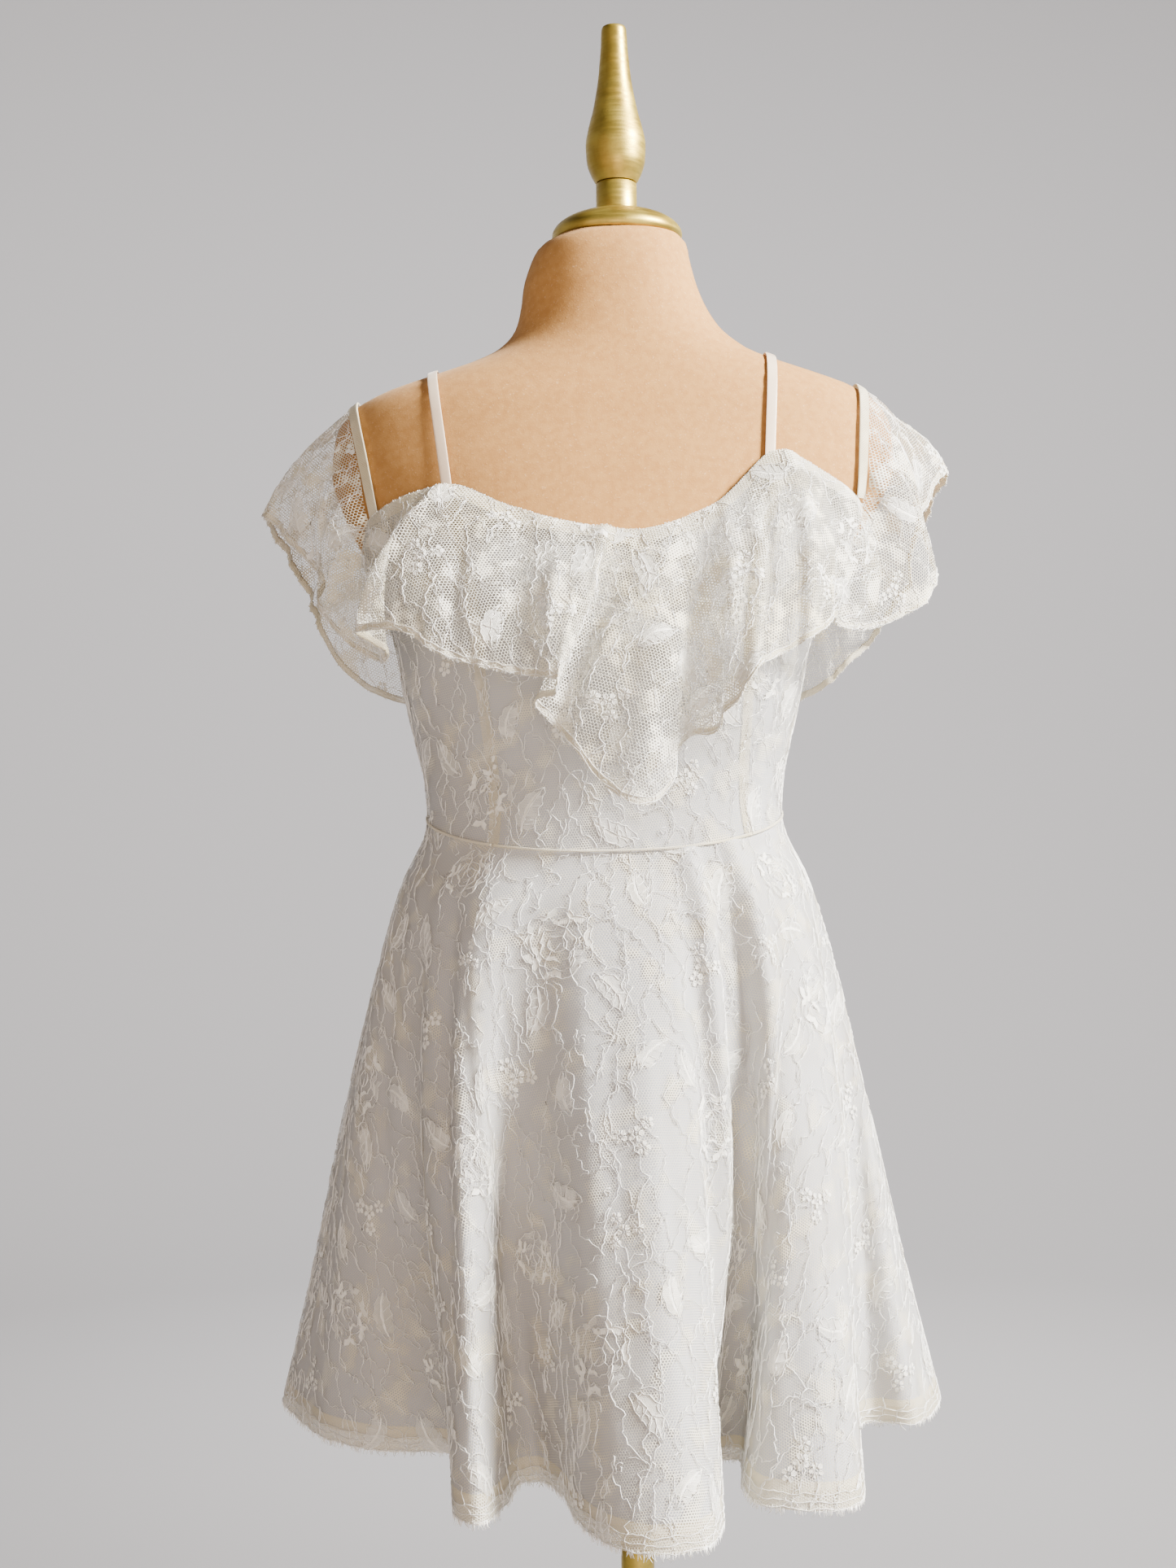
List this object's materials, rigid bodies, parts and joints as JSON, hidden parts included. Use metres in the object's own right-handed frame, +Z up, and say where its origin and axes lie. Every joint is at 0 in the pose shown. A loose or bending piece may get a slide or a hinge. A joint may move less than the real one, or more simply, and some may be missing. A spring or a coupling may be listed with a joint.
{
  "type": "short lace dress with a ruffled flounce on a limbless dress form with a turned stand",
  "caption": "Fitted lace bodice with a ruffled off-shoulder flounce and a flared, fluted skirt, filled out by a limbless dress form on a pole and round base.",
  "frame": {"origin": "centre of the base's flat underside, on the pole's axis", "axes": "+Z up along the pole, -Y towards the front of the dress, +X towards the wearer's left"},
  "size_m": [0.5129, 0.5178, 1.6579],
  "materials": {
    "gold_paint": "satin gold paint on turned wood and steel",
    "beige_jersey": "matt stretch jersey, drawn smooth",
    "ivory_lace": "corded floral lace on fine net",
    "white_lining": "smooth opaque lining",
    "ivory_satin": "satin elastic",
    "clear_plastic": "glossy translucent"
  },
  "bodies": {
    "root": {"base": "gold_paint", "pole": "gold_paint", "neck_cap": "gold_paint", "finial_collar": "gold_paint", "finial": "gold_paint", "form_body": "beige_jersey", "bodice_centre_front": "ivory_lace", "bodice_side_front_left": "ivory_lace", "bodice_side_front_right": "ivory_lace", "bodice_back_left": "ivory_lace", "bodice_back_right": "ivory_lace", "lining_bodice_front": "white_lining", "lining_bodice_back": "white_lining", "skirt_front": "ivory_lace", "skirt_back": "ivory_lace", "lining_skirt_front": "white_lining", "lining_skirt_back": "white_lining", "flounce_front": "ivory_lace", "flounce_left_shoulder": "ivory_lace", "flounce_back": "ivory_lace", "flounce_right_shoulder": "ivory_lace", "shoulder_band_left": "ivory_lace", "shoulder_band_right": "ivory_lace", "strap_left": "ivory_satin", "strap_right": "ivory_satin", "strap_slider_left": "clear_plastic", "strap_slider_right": "clear_plastic"}
  },
  "joints": []
}
